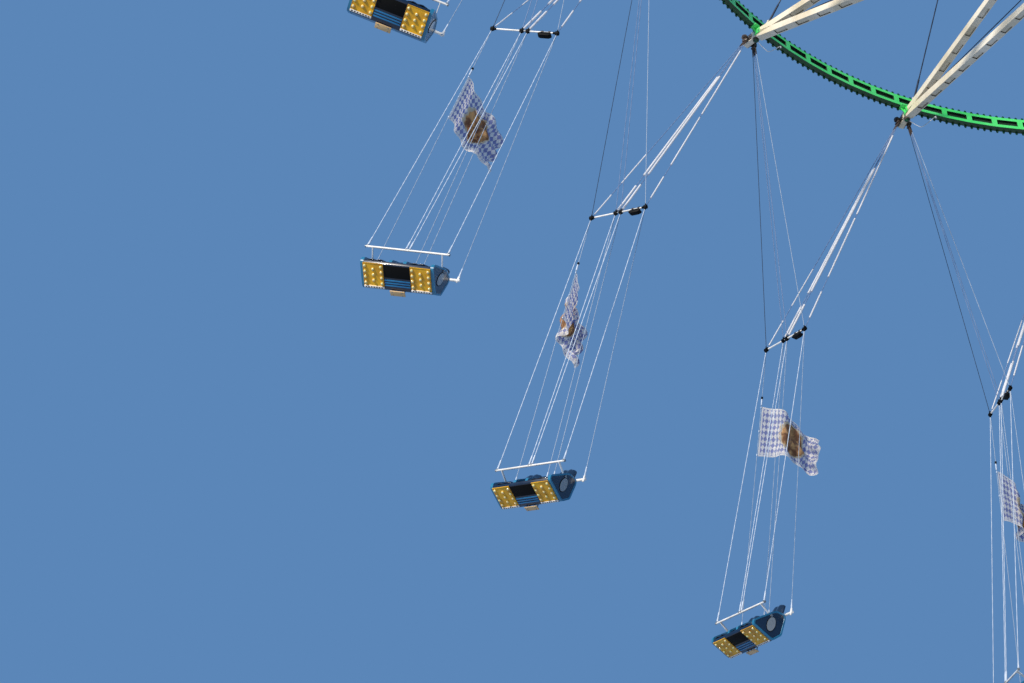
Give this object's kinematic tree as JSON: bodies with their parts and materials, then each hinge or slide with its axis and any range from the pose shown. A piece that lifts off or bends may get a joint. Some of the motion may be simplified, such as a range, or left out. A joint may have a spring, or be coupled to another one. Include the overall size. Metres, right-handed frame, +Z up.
{
  "type": "chair swing ride, 1:2 scale model",
  "caption": "Tall lattice tower with a lifting carriage, a turning star of arms with a lamp ring, and double rope-hung seats swinging outward.",
  "frame": {"origin": "centre of the tower's footprint at ground level", "axes": "+Z up along the mast; the picture looks at the ride from -Y and below"},
  "size_m": [11.6484, 11.6484, 30],
  "materials": {
    "galvanized_lattice": "dull zinc",
    "grey_steel": "satin",
    "cream_paint": "satin",
    "green_paint": "gloss",
    "white_paint": "satin",
    "blue_plastic": "moulded gloss"
  },
  "bodies": {
    "tower": {"mast_side_front": "galvanized_lattice", "mast_side_right": "galvanized_lattice", "mast_side_back": "galvanized_lattice", "mast_side_left": "galvanized_lattice", "mast_head": "grey_steel", "base_cross": "grey_steel", "mast_brace_1": "galvanized_lattice", "mast_brace_2": "galvanized_lattice", "mast_brace_3": "galvanized_lattice", "mast_brace_4": "galvanized_lattice", "winch_housing": "grey_steel"},
    "carriage": {"carriage_sleeve": "grey_steel", "slew_motor_1": "grey_steel", "slew_motor_2": "grey_steel"},
    "rotor": {"turning_cage": "cream_paint", "arm_quadrant_1": "cream_paint", "arm_quadrant_2": "cream_paint", "arm_quadrant_3": "cream_paint", "arm_quadrant_4": "cream_paint", "light_ring_1": "green_paint", "light_ring_2": "green_paint", "light_ring_3": "green_paint", "light_ring_4": "green_paint"},
    "swing_1": {"suspension_1": "white_paint", "double_seat_1": "blue_plastic"},
    "swing_2": {"suspension_2": "white_paint", "double_seat_2": "blue_plastic"},
    "swing_3": {"suspension_3": "white_paint", "double_seat_3": "blue_plastic"},
    "swing_4": {"suspension_4": "white_paint", "double_seat_4": "blue_plastic"},
    "swing_5": {"suspension_5": "white_paint", "double_seat_5": "blue_plastic"},
    "swing_6": {"suspension_6": "white_paint", "double_seat_6": "blue_plastic"},
    "swing_7": {"suspension_7": "white_paint", "double_seat_7": "blue_plastic"},
    "swing_8": {"suspension_8": "white_paint", "double_seat_8": "blue_plastic"},
    "swing_9": {"suspension_9": "white_paint", "double_seat_9": "blue_plastic"},
    "swing_10": {"suspension_10": "white_paint", "double_seat_10": "blue_plastic"},
    "swing_11": {"suspension_11": "white_paint", "double_seat_11": "blue_plastic"},
    "swing_12": {"suspension_12": "white_paint", "double_seat_12": "blue_plastic"},
    "swing_13": {"suspension_13": "white_paint", "double_seat_13": "blue_plastic"},
    "swing_14": {"suspension_14": "white_paint", "double_seat_14": "blue_plastic"},
    "swing_15": {"suspension_15": "white_paint", "double_seat_15": "blue_plastic"},
    "swing_16": {"suspension_16": "white_paint", "double_seat_16": "blue_plastic"}
  },
  "joints": [
    {"name": "carriage_lift", "type": "slide", "parent": "tower", "child": "carriage", "axis": [0, 0, 1], "range_m": [-19.75, 1]},
    {"name": "rotor_turn", "type": "hinge", "parent": "carriage", "child": "rotor", "pos_m": [0, 0, 24.95], "axis": [0, 0, 1], "continuous": true},
    {"name": "swing_hinge_1", "type": "hinge", "parent": "rotor", "child": "swing_1", "pos_m": [3.22658, 1.94256, 24.95], "axis": [0.5158, -0.8567, 0], "range_deg": [-23, 25]},
    {"name": "swing_hinge_2", "type": "hinge", "parent": "rotor", "child": "swing_2", "pos_m": [2.23759, 3.02945, 24.95], "axis": [0.8044, -0.5941, 0], "range_deg": [-23, 25]},
    {"name": "swing_hinge_3", "type": "hinge", "parent": "rotor", "child": "swing_3", "pos_m": [0.90794, 3.65514, 24.95], "axis": [0.9705, -0.2411, 0], "range_deg": [-23, 25]},
    {"name": "swing_hinge_4", "type": "hinge", "parent": "rotor", "child": "swing_4", "pos_m": [-0.55993, 3.72436, 24.95], "axis": [0.9889, 0.1487, 0], "range_deg": [-23, 25]},
    {"name": "swing_hinge_5", "type": "hinge", "parent": "rotor", "child": "swing_5", "pos_m": [-1.94256, 3.22658, 24.95], "axis": [0.8567, 0.5158, 0], "range_deg": [-23, 25]},
    {"name": "swing_hinge_6", "type": "hinge", "parent": "rotor", "child": "swing_6", "pos_m": [-3.02945, 2.23759, 24.95], "axis": [0.5941, 0.8044, 0], "range_deg": [-23, 25]},
    {"name": "swing_hinge_7", "type": "hinge", "parent": "rotor", "child": "swing_7", "pos_m": [-3.65514, 0.90794, 24.95], "axis": [0.2411, 0.9705, 0], "range_deg": [-23, 25]},
    {"name": "swing_hinge_8", "type": "hinge", "parent": "rotor", "child": "swing_8", "pos_m": [-3.72436, -0.55993, 24.95], "axis": [-0.1487, 0.9889, 0], "range_deg": [-23, 25]},
    {"name": "swing_hinge_9", "type": "hinge", "parent": "rotor", "child": "swing_9", "pos_m": [-3.22658, -1.94256, 24.95], "axis": [-0.5158, 0.8567, 0], "range_deg": [-23, 25]},
    {"name": "swing_hinge_10", "type": "hinge", "parent": "rotor", "child": "swing_10", "pos_m": [-2.23759, -3.02945, 24.95], "axis": [-0.8044, 0.5941, 0], "range_deg": [-23, 25]},
    {"name": "swing_hinge_11", "type": "hinge", "parent": "rotor", "child": "swing_11", "pos_m": [-0.90794, -3.65514, 24.95], "axis": [-0.9705, 0.2411, 0], "range_deg": [-23, 25]},
    {"name": "swing_hinge_12", "type": "hinge", "parent": "rotor", "child": "swing_12", "pos_m": [0.55993, -3.72436, 24.95], "axis": [-0.9889, -0.1487, 0], "range_deg": [-23, 25]},
    {"name": "swing_hinge_13", "type": "hinge", "parent": "rotor", "child": "swing_13", "pos_m": [1.94256, -3.22658, 24.95], "axis": [-0.8567, -0.5158, 0], "range_deg": [-23, 25]},
    {"name": "swing_hinge_14", "type": "hinge", "parent": "rotor", "child": "swing_14", "pos_m": [3.02945, -2.23759, 24.95], "axis": [-0.5941, -0.8044, 0], "range_deg": [-23, 25]},
    {"name": "swing_hinge_15", "type": "hinge", "parent": "rotor", "child": "swing_15", "pos_m": [3.65514, -0.90794, 24.95], "axis": [-0.2411, -0.9705, 0], "range_deg": [-23, 25]},
    {"name": "swing_hinge_16", "type": "hinge", "parent": "rotor", "child": "swing_16", "pos_m": [3.72436, 0.55993, 24.95], "axis": [0.1487, -0.9889, 0], "range_deg": [-23, 25]}
  ]
}
